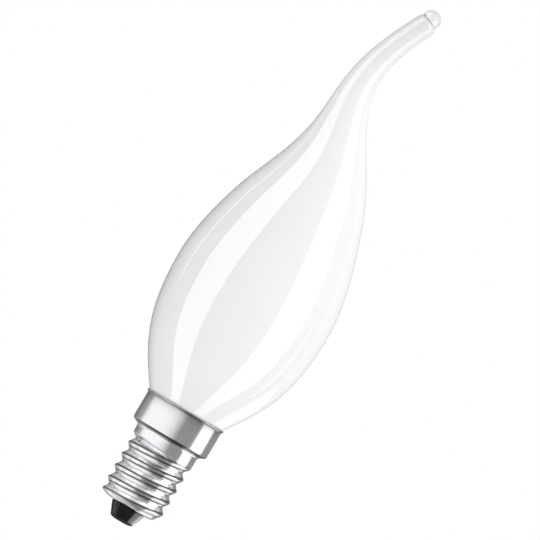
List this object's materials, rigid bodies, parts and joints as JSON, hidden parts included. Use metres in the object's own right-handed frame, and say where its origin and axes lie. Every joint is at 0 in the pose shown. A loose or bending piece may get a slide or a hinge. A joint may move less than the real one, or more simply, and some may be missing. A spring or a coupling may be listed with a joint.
{
  "type": "candle bulb",
  "caption": "Candle-shaped lamp bulb with opaque white glass, a long drawn tip that bends to one side, and a small threaded metal cap with a centre contact.",
  "frame": {"origin": "centre of the flat middle of the contact, at the bottom of the cap", "axes": "+Z along the cap's axis towards the tip, +X towards the side that the tip bends to"},
  "size_m": [0.0352, 0.0352, 0.1227],
  "materials": {
    "white_glass": "opaque white, glossy",
    "plated_metal": "bright nickel plate",
    "black_insulator": "glossy black",
    "contact_metal": "dull tinned metal",
    "cement": "matt"
  },
  "bodies": {
    "root": {"glass_envelope": "white_glass", "screw_cap": "plated_metal", "insulator": "black_insulator", "centre_contact": "contact_metal", "basing_cement": "cement"}
  },
  "joints": []
}
